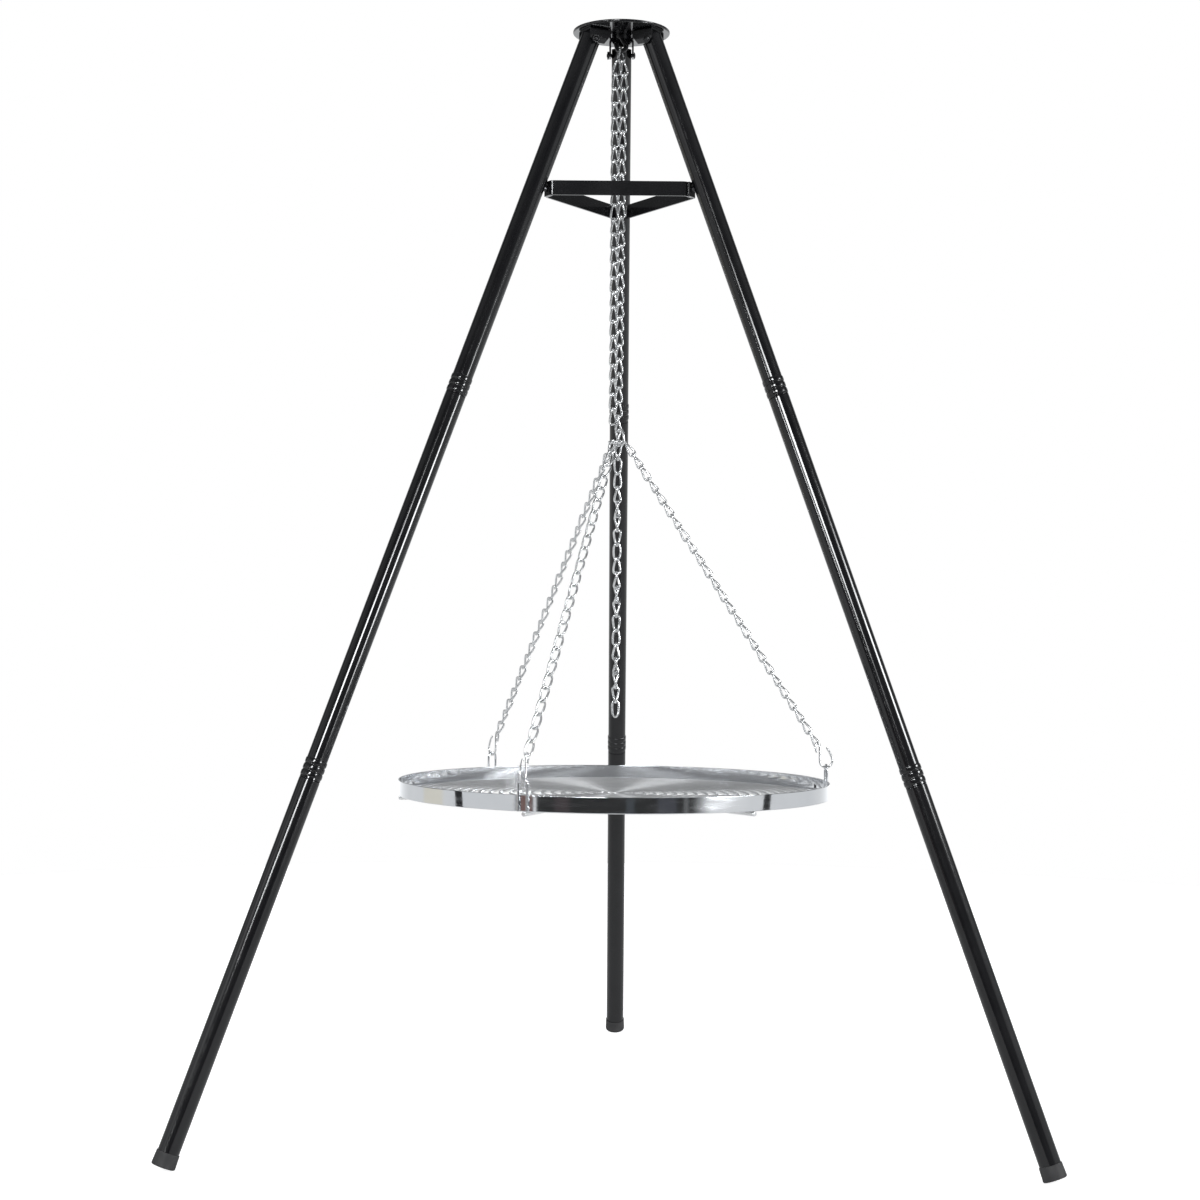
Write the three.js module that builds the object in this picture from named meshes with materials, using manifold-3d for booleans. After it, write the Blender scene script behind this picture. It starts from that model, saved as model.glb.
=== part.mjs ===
// Tripod campfire grill: three plug-together tube legs under a round hub plate, a triangle of
// flat spreader bars, and a chain that carries a round chrome grate.
// Millimetres, +Z up. The origin is the middle of the footprint, on the ground.

import * as THREE from 'three';
import { mergeVertices } from 'three/addons/utils/BufferGeometryUtils.js';
import Module from 'manifold-3d';

const wasm = await Module();
wasm.setup();

// ---- Driving dimensions -------------------------------------------------------------------

const GRATE_R = 300;            // outer radius of the grate's rim band
const RIM_HEIGHT = 21;
const RIM_TOP_Z = 472;
const HUB_R = 67.5;
const HUB_UNDER_Z = 1514;
const HUB_THICKNESS = 4;
const TUBE_R = 14;              // 28 mm tube
const TUBE_WALL = 1.2;
const LEG_TOP_R = 47.7;         // radius and height of the top end of a leg's axis
const LEG_TOP_Z = 1505.2;
const LEG_FOOT_R = 645;         // radius of the foot end of a leg's axis
const SECTION_LENGTH = 549;     // visible length of a leg section
const GAP = 0.3;                // clearance between neighbouring solids
const SPREADER_Z = 1286;        // mid height of the spreader bars
const GATHER_Z = 943;           // height of the ring that gathers the three grate chains
const SHORT_STRAND_END_Z = 966;
const LONG_STRAND_END_Z = 558;
const FIRST_HANGER_DEG = 8;     // azimuth of the first of the three grate hangers

const LEG_AZIMUTHS = { left: 210, right: 330, back: 90 };
const HANGERS = ['right', 'back', 'front'];

const deg = THREE.MathUtils.degToRad;
const Z_AXIS = new THREE.Vector3(0, 0, 1);

// ---- Materials ----------------------------------------------------------------------------

const finish = (color, roughness, metalness) =>
  () => new THREE.MeshStandardMaterial({ color, roughness, metalness });
const blackCoat = finish(0x151517, 0.28, 0.1);
const blackSteel = finish(0x1b1b1d, 0.4, 0.5);
const blackRubber = finish(0x1d1d1c, 0.75, 0);
const zincSteel = finish(0xc4c6c8, 0.35, 1);
const chrome = finish(0xd9dcdf, 0.12, 1);

// ---- Solids -------------------------------------------------------------------------------

// Merges the shared corners, so that a geometry is one closed skin, and leaves out the triangles
// that merging closes up, such as those at the ends of a turned solid's axis.
function closed(geometry) {
  const copy = geometry.clone();
  copy.deleteAttribute('normal');
  copy.deleteAttribute('uv');
  const skin = mergeVertices(copy, 1e-4);
  const kept = [];
  for (let i = 0; i < skin.index.count; i += 3) {
    const corners = [0, 1, 2].map((k) => skin.index.getX(i + k));
    if (new Set(corners).size === 3) kept.push(...corners);
  }
  skin.setIndex(kept);
  return skin;
}

function toManifold(geometry) {
  const skin = closed(geometry);
  return new wasm.Manifold(new wasm.Mesh({
    numProp: 3,
    vertProperties: new Float32Array(skin.attributes.position.array),
    triVerts: new Uint32Array(skin.index.array),
  }));
}

function toGeometry(manifold) {
  const mesh = manifold.getMesh();
  const geometry = new THREE.BufferGeometry();
  geometry.setAttribute('position', new THREE.BufferAttribute(new Float32Array(mesh.vertProperties), 3));
  geometry.setIndex(new THREE.BufferAttribute(new Uint32Array(mesh.triVerts), 1));
  return geometry;
}

function cut(geometry, ...tools) {
  return toGeometry(tools.reduce((body, tool) => body.subtract(toManifold(tool)), toManifold(geometry)));
}

function join(...geometries) {
  return toGeometry(geometries.map(toManifold).reduce((body, piece) => body.add(piece)));
}

// A turned solid about +Z from [radius, z] points that go once round the section, anticlockwise.
// The section starts and ends on the axis, or closes on itself.
function turned(points, sides) {
  const isSolid = points[0][0] === 0;
  const section = isSolid ? points : [...points, points[0]];
  const outline = section.map(([r, z]) => new THREE.Vector2(r, z));
  return new THREE.LatheGeometry(outline, sides).rotateX(Math.PI / 2);
}

function disc(radius, lowZ, highZ, sides) {
  const height = highZ - lowZ;
  return new THREE.CylinderGeometry(radius, radius, height, sides)
    .rotateX(Math.PI / 2)
    .translate(0, 0, (lowZ + highZ) / 2);
}

function tubeRing(outer, inner, lowZ, highZ, sides) {
  return turned([[outer, lowZ], [outer, highZ], [inner, highZ], [inner, lowZ]], sides);
}

// A round wire along a smooth curve through [x, y, z] points.
function wire(points, radius, steps, sides = 6) {
  const path = new THREE.CatmullRomCurve3(points.map((p) => new THREE.Vector3(...p)), false, 'centripetal');
  const section = new THREE.Shape();
  for (let i = 0; i < sides; i += 1) {
    const angle = (2 * Math.PI * i) / sides;
    const corner = [radius * Math.cos(angle), radius * Math.sin(angle)];
    if (i === 0) section.moveTo(...corner);
    else section.lineTo(...corner);
  }
  section.closePath();
  return new THREE.ExtrudeGeometry(section, { steps, bevelEnabled: false, extrudePath: path });
}

function hexagon(width, lowZ, highZ) {
  return disc(width / Math.sqrt(3), lowZ, highZ, 6);
}

// A flat outline of [x, y] points, raised from lowZ to highZ.
function plate(points, lowZ, highZ) {
  const shape = new THREE.Shape(points.map(([x, y]) => new THREE.Vector2(x, y)));
  return new THREE.ExtrudeGeometry(shape, { depth: highZ - lowZ, bevelEnabled: false }).translate(0, 0, lowZ);
}

// ---- Scene graph --------------------------------------------------------------------------

const tripod = new THREE.Group();

function addMesh(parent, name, geometry, material) {
  const mesh = new THREE.Mesh(closed(geometry), material());
  mesh.name = name;
  parent.add(mesh);
  return mesh;
}

// A group turned about the tripod's upright axis, whose +X points to an azimuth.
function turnedGroup(azimuth) {
  const group = new THREE.Group();
  group.rotation.z = deg(azimuth);
  tripod.add(group);
  return group;
}

// ---- Hub ----------------------------------------------------------------------------------

const HOOK_SHANK_R = 3.5;
const HOOK_WIRE_R = 3;
const HOOK_BEND_R = 7;
const HOOK_LOW_Z = 1491;        // wire centre at the bottom of the hook's bend

function addHub() {
  const edge = 1.2;
  const top = HUB_UNDER_Z + HUB_THICKNESS;
  const hole = HOOK_SHANK_R + GAP;
  const hubPlate = turned([
    [hole, HUB_UNDER_Z],
    [HUB_R - edge, HUB_UNDER_Z],
    [HUB_R, HUB_UNDER_Z + edge],
    [HUB_R, top - edge],
    [HUB_R - edge, top],
    [hole, top],
  ], 36);
  addMesh(tripod, 'hub_plate', hubPlate, blackCoat);

  const bendZ = HOOK_LOW_Z + HOOK_BEND_R;
  const shank = disc(HOOK_SHANK_R, bendZ + 9, top + 7.5, 12);
  const bend = wire([
    [0, 0, bendZ + 12],
    [2.5, 0, bendZ + 7],
    [HOOK_BEND_R, 0, bendZ],
    [HOOK_BEND_R * 0.7, 0, bendZ - HOOK_BEND_R * 0.7],
    [0, 0, HOOK_LOW_Z],
    [-HOOK_BEND_R * 0.7, 0, bendZ - HOOK_BEND_R * 0.7],
    [-HOOK_BEND_R, 0, bendZ],
    [-HOOK_BEND_R, 0, bendZ + 4],
  ], HOOK_WIRE_R, 16, 8);
  addMesh(tripod, 'hub_hook', join(shank, bend), blackSteel);

  const nutHole = disc(HOOK_SHANK_R + GAP, top - 1, top + 9, 12);
  const topNut = cut(hexagon(12, top + GAP, top + 6), nutHole);
  addMesh(tripod, 'hub_hook_nut', topNut, blackSteel);
  const underHole = disc(HOOK_SHANK_R + GAP, HUB_UNDER_Z - 6, HUB_UNDER_Z, 12);
  const underNut = cut(hexagon(12, HUB_UNDER_Z - 5, HUB_UNDER_Z - GAP), underHole);
  addMesh(tripod, 'hub_hook_lock_nut', underNut, blackSteel);
}

// ---- Legs ---------------------------------------------------------------------------------
// Each leg is built along -Z from its top end, then leaned outwards in its own group.

const LEG_LEAN = Math.atan2(LEG_FOOT_R - LEG_TOP_R, LEG_TOP_Z);
const SPIGOT_LENGTH = 40;
const SPIGOT_R = TUBE_R - TUBE_WALL - GAP;
const BEAD_PITCH = 8.5;
const BEAD_HEIGHT = 0.6;
const CAP_R = 15.6;
const CAP_LENGTH = 19;
const CAP_BASE = 3;
const CAP_EDGE = 2;
const TUBE_SIDES = 16;

const BOLT_DROP = 8.6;          // from the leg's top end to its cross bolt, along the leg
const BOLT_R = 3;
const CHEEK_INNER = TUBE_R + 0.8;
const CHEEK_OUTER = CHEEK_INNER + 2.5;
const BRACKET_DEPTH = 22;
const BRACKET_WEB = 2.5;

// The leg's whole length is set so that the lowest point of the foot cap's round edge is at z = 0.
const footDrop = (CAP_R - CAP_EDGE) * Math.sin(LEG_LEAN) + CAP_EDGE * (1 - Math.cos(LEG_LEAN));
const LEG_LENGTH = (LEG_TOP_Z - footDrop) / Math.cos(LEG_LEAN);

// Three rolled beads round the lower end of a tube that takes the next section.
function beads(endZ) {
  const points = [];
  for (let i = 3; i >= 1; i -= 1) {
    const middle = endZ + i * BEAD_PITCH - 2;
    points.push([TUBE_R, middle + 2.2], [TUBE_R + BEAD_HEIGHT, middle], [TUBE_R, middle - 2.2]);
  }
  return points;
}

function legSection(topZ, endZ, hasSpigot, hasBeads) {
  const inner = TUBE_R - TUBE_WALL;
  const outside = hasBeads ? beads(endZ) : [];
  const start = hasSpigot
    ? [[SPIGOT_R, topZ + SPIGOT_LENGTH], [SPIGOT_R, topZ + GAP], [TUBE_R, topZ - 1]]
    : [[TUBE_R, topZ]];
  const bore = hasSpigot
    ? [[inner, topZ - 4], [SPIGOT_R - TUBE_WALL, topZ], [SPIGOT_R - TUBE_WALL, topZ + SPIGOT_LENGTH]]
    : [[inner, topZ]];
  const round = [...start, ...outside, [TUBE_R, endZ], [inner, endZ], ...bore];
  return turned(round.reverse(), TUBE_SIDES);
}

function crossHole(radius, length) {
  return new THREE.CylinderGeometry(radius, radius, length, 10);
}

function addLeg(side, azimuth) {
  const upright = turnedGroup(azimuth);
  const leg = new THREE.Group();
  leg.position.set(LEG_TOP_R, 0, LEG_TOP_Z);
  leg.rotation.y = -LEG_LEAN;
  upright.add(leg);

  const firstEnd = -SECTION_LENGTH;
  const secondEnd = -2 * SECTION_LENGTH;
  // The spreader's threaded insert sits in a hole through the tube's inner side only.
  const holeLength = 1.5 * TUBE_R;
  const insertHole = new THREE.CylinderGeometry(INSERT_R + GAP, INSERT_R + GAP, holeLength, 10)
    .rotateZ(Math.PI / 2)
    .translate(-holeLength / 2, 0, 0)
    .rotateY(LEG_LEAN)
    .translate(0, 0, -spreaderPlaces().alongLeg);
  const upper = cut(
    legSection(0, firstEnd, false, true),
    crossHole(BOLT_R + GAP, 4 * TUBE_R).translate(0, 0, -BOLT_DROP),
    insertHole,
  );
  addMesh(leg, `leg_${side}_upper`, upper, blackCoat);
  addMesh(leg, `leg_${side}_middle`, legSection(firstEnd - GAP, secondEnd, true, true), blackCoat);
  const tubeEnd = -(LEG_LENGTH - CAP_BASE - GAP);
  addMesh(leg, `leg_${side}_lower`, legSection(secondEnd - GAP, tubeEnd, true, false), blackCoat);

  const capLow = -LEG_LENGTH;
  const capHigh = capLow + CAP_LENGTH;
  const cap = turned([
    [0, capLow],
    [CAP_R - CAP_EDGE, capLow],
    [CAP_R - CAP_EDGE * 0.29, capLow + CAP_EDGE * 0.29],
    [CAP_R, capLow + CAP_EDGE],
    [CAP_R, capHigh - 1],
    [CAP_R - 0.6, capHigh],
    [TUBE_R + GAP, capHigh],
    [TUBE_R + GAP, capLow + CAP_BASE],
    [0, capLow + CAP_BASE],
  ], TUBE_SIDES);
  addMesh(leg, `foot_cap_${side}`, cap, blackRubber);

  addBracket(upright, side);
}

// The inverted channel under the hub that a leg's top end sits in, with its cross bolt and nut.
function addBracket(upright, side) {
  const top = HUB_UNDER_Z - GAP;
  const low = HUB_UNDER_Z - BRACKET_DEPTH;
  const innerR = 28;
  const outerR = 58;
  const cheek = [
    [innerR, top], [innerR, low + 11], [innerR + 9, low], [outerR - 7, low], [outerR, low + 7], [outerR, top],
  ].map(([r, z]) => [r, -z]);
  const side1 = plate(cheek, CHEEK_INNER, CHEEK_OUTER).rotateX(-Math.PI / 2);
  const side2 = plate(cheek, -CHEEK_OUTER, -CHEEK_INNER).rotateX(-Math.PI / 2);
  const web = new THREE.BoxGeometry(outerR - innerR, 2 * CHEEK_OUTER, BRACKET_WEB)
    .translate((innerR + outerR) / 2, 0, top - BRACKET_WEB / 2);
  const boltX = LEG_TOP_R + BOLT_DROP * Math.sin(LEG_LEAN);
  const boltZ = LEG_TOP_Z - BOLT_DROP * Math.cos(LEG_LEAN);
  const hole = crossHole(BOLT_R + GAP, 4 * TUBE_R).translate(boltX, 0, boltZ);
  addMesh(upright, `leg_bracket_${side}`, cut(join(side1, side2, web), hole), blackCoat);

  const fastener = new THREE.Group();
  fastener.position.set(boltX, 0, boltZ);
  fastener.rotation.x = Math.PI / 2;
  upright.add(fastener);
  const shankEnd = -(CHEEK_OUTER + 3.8);
  const headStart = CHEEK_OUTER + GAP;
  const bolt = turned([
    [0, shankEnd],
    [BOLT_R, shankEnd],
    [BOLT_R, headStart],
    [5, headStart],
    [4.4, headStart + 1.2],
    [2.6, headStart + 2],
    [0, headStart + 2.2],
  ], 12);
  addMesh(fastener, `leg_bolt_${side}`, bolt, blackSteel);
  const nut = cut(
    hexagon(10, -(CHEEK_OUTER + 3), -(CHEEK_OUTER + GAP)),
    disc(BOLT_R + GAP, -(CHEEK_OUTER + 4), -CHEEK_OUTER, 12),
  );
  addMesh(fastener, `leg_nut_${side}`, nut, blackSteel);
}

// ---- Spreader -----------------------------------------------------------------------------
// Three equal flat bars. Each has a bent tab at both ends: the outer tab lies against one leg,
// the inner tab lies over the next bar's outer tab. One bolt holds the pair to the leg.

const BAR_HEIGHT = 20;
const BAR_THICKNESS = 3;
const INSERT_R = 4.4;           // threaded insert in the leg, for the spreader's bolt
const INSERT_LENGTH = 11;
const TAB_BEND = 10.5;           // from the leg's middle to a tab's bend, round the hub's axis
const TAB_END = 7;              // from the leg's middle to a tab's free end

function spreaderPlaces() {
  const legAxisR = (z) => LEG_TOP_R + (LEG_TOP_Z - z) * Math.tan(LEG_LEAN);
  const legInside = legAxisR(SPREADER_Z + BAR_HEIGHT / 2) - TUBE_R / Math.cos(LEG_LEAN);
  const outerTab = legInside - GAP - BAR_THICKNESS / 2;
  return {
    outerTab,
    innerTab: outerTab - BAR_THICKNESS - GAP,
    alongLeg: (LEG_TOP_Z - SPREADER_Z) / Math.cos(LEG_LEAN),
  };
}

function polar(radius, tangent, azimuth) {
  const point = new THREE.Vector2(radius, tangent);
  return point.rotateAround(new THREE.Vector2(0, 0), deg(azimuth));
}

// The outline of a flat bar of even thickness that follows a bent centre line.
function bentOutline(line, thickness) {
  const sideOf = (sign) => line.map((point, i) => {
    const before = line[Math.max(i - 1, 0)];
    const after = line[Math.min(i + 1, line.length - 1)];
    const into = point.clone().sub(i > 0 ? before : point).normalize();
    const out = after.clone().sub(i < line.length - 1 ? point : after).normalize();
    const along = into.clone().add(out).normalize();
    const mitre = (i > 0 && i < line.length - 1) ? 1 / along.dot(into) : 1;
    const across = new THREE.Vector2(-along.y, along.x);
    return point.clone().addScaledVector(across, (sign * mitre * thickness) / 2);
  });
  return [...sideOf(1), ...sideOf(-1).reverse()].map((point) => [point.x, point.y]);
}

function addSpreader() {
  const { outerTab, innerTab } = spreaderPlaces();
  const low = SPREADER_Z - BAR_HEIGHT / 2;
  const high = SPREADER_Z + BAR_HEIGHT / 2;
  const barNames = { left: 'front', right: 'right', back: 'left' };
  const holeAt = (azimuth) => new THREE.CylinderGeometry(BOLT_R + GAP, BOLT_R + GAP, 20, 10)
    .rotateZ(Math.PI / 2)
    .translate(outerTab, 0, SPREADER_Z)
    .rotateZ(deg(azimuth));

  for (const [side, azimuth] of Object.entries(LEG_AZIMUTHS)) {
    const next = azimuth + 120;
    const line = [
      polar(outerTab, -TAB_END, azimuth),
      polar(outerTab, TAB_BEND, azimuth),
      polar(innerTab, -TAB_BEND, next),
      polar(innerTab, TAB_END, next),
    ];
    const bar = plate(bentOutline(line, BAR_THICKNESS).reverse(), low, high);
    addMesh(tripod, `spreader_bar_${barNames[side]}`, cut(bar, holeAt(azimuth), holeAt(next)), blackCoat);

    const fastener = new THREE.Group();
    fastener.position.set(0, 0, SPREADER_Z);
    fastener.rotation.set(0, Math.PI / 2, 0);
    const upright = turnedGroup(azimuth);
    upright.add(fastener);
    const headR = innerTab - BAR_THICKNESS / 2 - GAP;
    const insertLow = outerTab + BAR_THICKNESS / 2 + GAP;
    const insertHigh = insertLow + INSERT_LENGTH;
    const bolt = turned([
      [0, headR - 3.4],
      [3, headR - 3],
      [5, headR - 1.6],
      [5.5, headR],
      [BOLT_R, headR],
      [BOLT_R, insertHigh + 1],
      [0, insertHigh + 1],
    ], 12);
    addMesh(fastener, `spreader_bolt_${side}`, bolt, blackSteel);
    const insert = tubeRing(INSERT_R, BOLT_R + GAP, insertLow, insertHigh, 12);
    addMesh(fastener, `spreader_insert_${side}`, insert, zincSteel);
  }
}

// ---- Chain --------------------------------------------------------------------------------
// One chain hangs over the hub hook by its top link: a short free strand and a long strand that
// carries the grate and ends in a free tail. The strands are plain tubes of the chain's weight.

const LINK_WIRE_R = 1.5;
const STRAND_R = 3.8;
const STRAND_BORE_R = 2.8;
const STRAND_X = 4.2;
const TOP_LINK_HALF = 10;       // from the top link's middle to its end, along the wire centre
const TOP_LINK_BEND_R = 5.3;

function addChain() {
  const hangZ = HOOK_LOW_Z + HOOK_WIRE_R + 3 * GAP + LINK_WIRE_R;
  const topLink = new THREE.TorusGeometry(TOP_LINK_BEND_R, LINK_WIRE_R, 6, 16);
  const position = topLink.attributes.position;
  for (let i = 0; i < position.count; i += 1) {
    // The ends move apart and stay round, so that the wire keeps its thickness.
    const y = position.getY(i);
    const shift = (TOP_LINK_HALF - TOP_LINK_BEND_R) * THREE.MathUtils.clamp(y / 3, -1, 1);
    position.setY(i, y + shift);
  }
  topLink.rotateX(Math.PI / 2).rotateZ(Math.PI / 2).translate(0, 0, hangZ - TOP_LINK_HALF);
  addMesh(tripod, 'chain_top_link', topLink, zincSteel);

  const strandTop = hangZ - 2 * TOP_LINK_HALF - LINK_WIRE_R - GAP;
  const strand = (endZ) => tubeRing(STRAND_R, STRAND_BORE_R, endZ, strandTop, 8);
  addMesh(tripod, 'chain_short_strand', strand(SHORT_STRAND_END_Z).translate(-STRAND_X, 0, 0), zincSteel);
  addMesh(tripod, 'chain_long_strand', strand(LONG_STRAND_END_Z).translate(STRAND_X, 0, 0), zincSteel);
}

// ---- Gather: the hook on the long strand and the ring under it ------------------------------

const RING_R = 11;
const RING_WIRE_R = 2;
const GATHER_HOOK_WIRE_R = 1.6;
const GATHER_HOOK_TIP_R = 7.6;  // from the hub's axis to the hook's tip, beside the long strand
const GATHER_HOOK_DEG = FIRST_HANGER_DEG - 60;

function addGather() {
  const ring = new THREE.TorusGeometry(RING_R, RING_WIRE_R, 6, 20).translate(0, 0, GATHER_Z);
  addMesh(tripod, 'gather_ring', ring, zincSteel);

  const bend = RING_WIRE_R + GAP + GATHER_HOOK_WIRE_R;
  const hook = wire([
    [RING_R - bend, 0, 3],
    [RING_R - bend, 0, 0],
    [RING_R - bend * 0.7, 0, -bend * 0.7],
    [RING_R, 0, -bend],
    [RING_R + bend * 0.7, 0, -bend * 0.7],
    [RING_R + bend, 0, 0],
    [RING_R + bend, 0, 6],
    [RING_R + bend * 0.4, 0, 13],
    [RING_R - 0.6, 0, 17],
    [GATHER_HOOK_TIP_R + 0.8, 0, 17.5],
    [GATHER_HOOK_TIP_R, 0, 15],
  ], GATHER_HOOK_WIRE_R, 20);
  hook.rotateZ(deg(GATHER_HOOK_DEG)).translate(0, 0, GATHER_Z);
  addMesh(tripod, 'gather_hook', hook, zincSteel);
}

// ---- Hangers: three chains, S-hooks and rim brackets ----------------------------------------

const HANGER_R = GRATE_R + GAP + 1.7;     // radius of the rim bracket's wire
const BRACKET_WIRE_R = 1.6;
const BRACKET_HALF = 6.2;                 // half distance between the bracket's two legs
const BRACKET_TOP_Z = RIM_TOP_Z + 21;
const S_WIRE_R = 1.5;
const S_BEND_R = 9;

function addHangers() {
  HANGERS.forEach((side, i) => {
    const group = turnedGroup(FIRST_HANGER_DEG + 120 * i);
    const low = RIM_TOP_Z - RIM_HEIGHT;
    const loop = wire([
      [HANGER_R, -BRACKET_HALF, low],
      [HANGER_R, -BRACKET_HALF, low + 20],
      [HANGER_R, -BRACKET_HALF, BRACKET_TOP_Z - BRACKET_HALF],
      [HANGER_R, -BRACKET_HALF * 0.7, BRACKET_TOP_Z - BRACKET_HALF * 0.3],
      [HANGER_R, 0, BRACKET_TOP_Z],
      [HANGER_R, BRACKET_HALF * 0.7, BRACKET_TOP_Z - BRACKET_HALF * 0.3],
      [HANGER_R, BRACKET_HALF, BRACKET_TOP_Z - BRACKET_HALF],
      [HANGER_R, BRACKET_HALF, low + 20],
      [HANGER_R, BRACKET_HALF, low],
    ], BRACKET_WIRE_R, 20);
    addMesh(group, `rim_bracket_${side}`, loop, chrome);

    const bottom = BRACKET_TOP_Z - BRACKET_WIRE_R - GAP - S_WIRE_R;
    const bendZ = bottom + S_BEND_R;
    const sHook = wire([
      [HANGER_R - 13.5, 0, bottom + 21],
      [HANGER_R - 16.2, 0, bottom + 29],
      [HANGER_R - 14.4, 0, bottom + 34],
      [HANGER_R - 11, 0, bottom + 34],
      [HANGER_R - 9.4, 0, bottom + 29],
      [HANGER_R - S_BEND_R, 0, bendZ],
      [HANGER_R - S_BEND_R * 0.7, 0, bendZ - S_BEND_R * 0.7],
      [HANGER_R, 0, bottom],
      [HANGER_R + S_BEND_R * 0.7, 0, bendZ - S_BEND_R * 0.7],
      [HANGER_R + S_BEND_R, 0, bendZ + 1],
      [HANGER_R + 5, 0, bottom + 21],
      [HANGER_R + 0.5, 0, bottom + 28],
    ], S_WIRE_R, 26);
    addMesh(group, `s_hook_${side}`, sHook, zincSteel);

    addHangerChain(side, group, bottom);
  });
}

// A taut chain from just under the gather ring to just above an S-hook.
function addHangerChain(side, group, hookBottom) {
  const ringSide = new THREE.Vector3(RING_R, 0, GATHER_Z);
  const hookTop = new THREE.Vector3(HANGER_R - 12.7, 0, hookBottom + 35);
  const direction = hookTop.clone().sub(ringSide).normalize();
  const start = ringSide.clone().addScaledVector(direction, 9);
  const end = hookTop.clone().addScaledVector(direction, -4.5);
  const length = start.distanceTo(end);
  const chain = tubeRing(STRAND_R, STRAND_BORE_R, 0, length, 8);
  const mesh = addMesh(group, `hanger_chain_${side}`, chain, zincSteel);
  mesh.position.copy(start);
  mesh.quaternion.setFromUnitVectors(Z_AXIS, direction);
}

// ---- Grate --------------------------------------------------------------------------------

const RIM_THICKNESS = 2;
const BAR_R = 2.5;              // radius of the grate's ring wire
const ROD_R = 3.2;              // radius of the support rods under the rings
const RING_COUNT = 20;
const RING_PITCH = 14.4;
const FIRST_RING_R = 14.4;
const WELD_BITE = 0.6;

function addGrate() {
  const low = RIM_TOP_Z - RIM_HEIGHT;
  const rim = tubeRing(GRATE_R, GRATE_R - RIM_THICKNESS, low, RIM_TOP_Z, 48);
  addMesh(tripod, 'grate_rim', rim, chrome);

  const rodZ = low - GAP - ROD_R;
  const rods = [0, 1, 2].map((i) => new THREE.CylinderGeometry(ROD_R, ROD_R, 2 * GRATE_R - 2, 6)
    .rotateY(Math.PI / 6)
    .rotateZ(Math.PI / 2)
    .rotateZ(deg(FIRST_HANGER_DEG + 60 * i)));
  const ringZ = ROD_R * Math.cos(Math.PI / 6) + BAR_R - WELD_BITE;
  const rings = [];
  for (let i = 0; i < RING_COUNT; i += 1) {
    const radius = FIRST_RING_R + i * RING_PITCH;
    const sides = 3 * Math.round(3 + radius / 60);
    rings.push(new THREE.TorusGeometry(radius, BAR_R, 4, sides).translate(0, 0, ringZ));
  }
  const grid = join(...rods, ...rings).translate(0, 0, rodZ);
  addMesh(tripod, 'grate_grid', grid, chrome);
}

// ---- Assembly -----------------------------------------------------------------------------

addHub();
for (const [side, azimuth] of Object.entries(LEG_AZIMUTHS)) addLeg(side, azimuth);
addSpreader();
addChain();
addGather();
addHangers();
addGrate();

// The back foot is further from the tripod's axis than the front pair, along Y.
tripod.updateMatrixWorld(true);
const footprint = new THREE.Box3().setFromObject(tripod, true);
tripod.position.y = -(footprint.min.y + footprint.max.y) / 2;
tripod.position.z = -footprint.min.z;

const part = new THREE.Group();
part.add(tripod);
part.updateMatrixWorld(true);

export default part;
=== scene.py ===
"""Looks for the tripod campfire grill: the smooth tubes, the twisted-link chains, the chrome grate."""

import math

import bmesh
import bpy
from mathutils import Matrix, Vector


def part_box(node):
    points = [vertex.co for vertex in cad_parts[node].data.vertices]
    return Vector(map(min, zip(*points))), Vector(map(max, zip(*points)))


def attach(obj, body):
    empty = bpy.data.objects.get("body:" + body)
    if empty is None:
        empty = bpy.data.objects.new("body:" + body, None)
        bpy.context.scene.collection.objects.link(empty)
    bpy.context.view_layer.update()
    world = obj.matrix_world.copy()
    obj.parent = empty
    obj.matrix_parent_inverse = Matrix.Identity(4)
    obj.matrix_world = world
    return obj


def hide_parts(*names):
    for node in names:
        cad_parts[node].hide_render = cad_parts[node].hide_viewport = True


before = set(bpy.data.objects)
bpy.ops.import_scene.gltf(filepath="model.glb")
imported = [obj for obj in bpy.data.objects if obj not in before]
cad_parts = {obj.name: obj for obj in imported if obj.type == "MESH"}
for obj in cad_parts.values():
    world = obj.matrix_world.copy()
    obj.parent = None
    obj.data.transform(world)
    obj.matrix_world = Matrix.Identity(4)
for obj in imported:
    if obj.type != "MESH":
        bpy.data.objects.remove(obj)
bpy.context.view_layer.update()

MM = 0.001

# ---- Driving dimensions, in millimetres: the CAD model's own ----

GRATE_R = 300.0
RIM_HEIGHT = 21.0
RIM_TOP_Z = 472.0
HUB_R = 67.5
HUB_UNDER_Z = 1514.0
HUB_THICKNESS = 4.0
TUBE_R = 14.0
TUBE_WALL = 1.2
LEG_TOP_R = 47.7
LEG_TOP_Z = 1505.2
LEG_FOOT_R = 645.0
SECTION_LENGTH = 549.0
SPREADER_Z = 1286.0
GATHER_Z = 943.0
FIRST_HANGER_DEG = 8.0
GAP = 0.3

LEG_AZIMUTHS = {"left": 210.0, "right": 330.0, "back": 90.0}
HANGER_AZIMUTHS = {
    "right": FIRST_HANGER_DEG,
    "back": FIRST_HANGER_DEG + 120,
    "front": FIRST_HANGER_DEG + 240,
}

# The tripod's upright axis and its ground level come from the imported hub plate's box, in metres.
hub_low, hub_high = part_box("hub_plate")
AXIS_X = (hub_low.x + hub_high.x) / 2
AXIS_Y = (hub_low.y + hub_high.y) / 2
BASE_Z = hub_low.z - HUB_UNDER_Z * MM
TRIPOD = Matrix.Translation((AXIS_X, AXIS_Y, BASE_Z)) @ Matrix.Scale(MM, 4)

# ---- Camera ----

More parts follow.
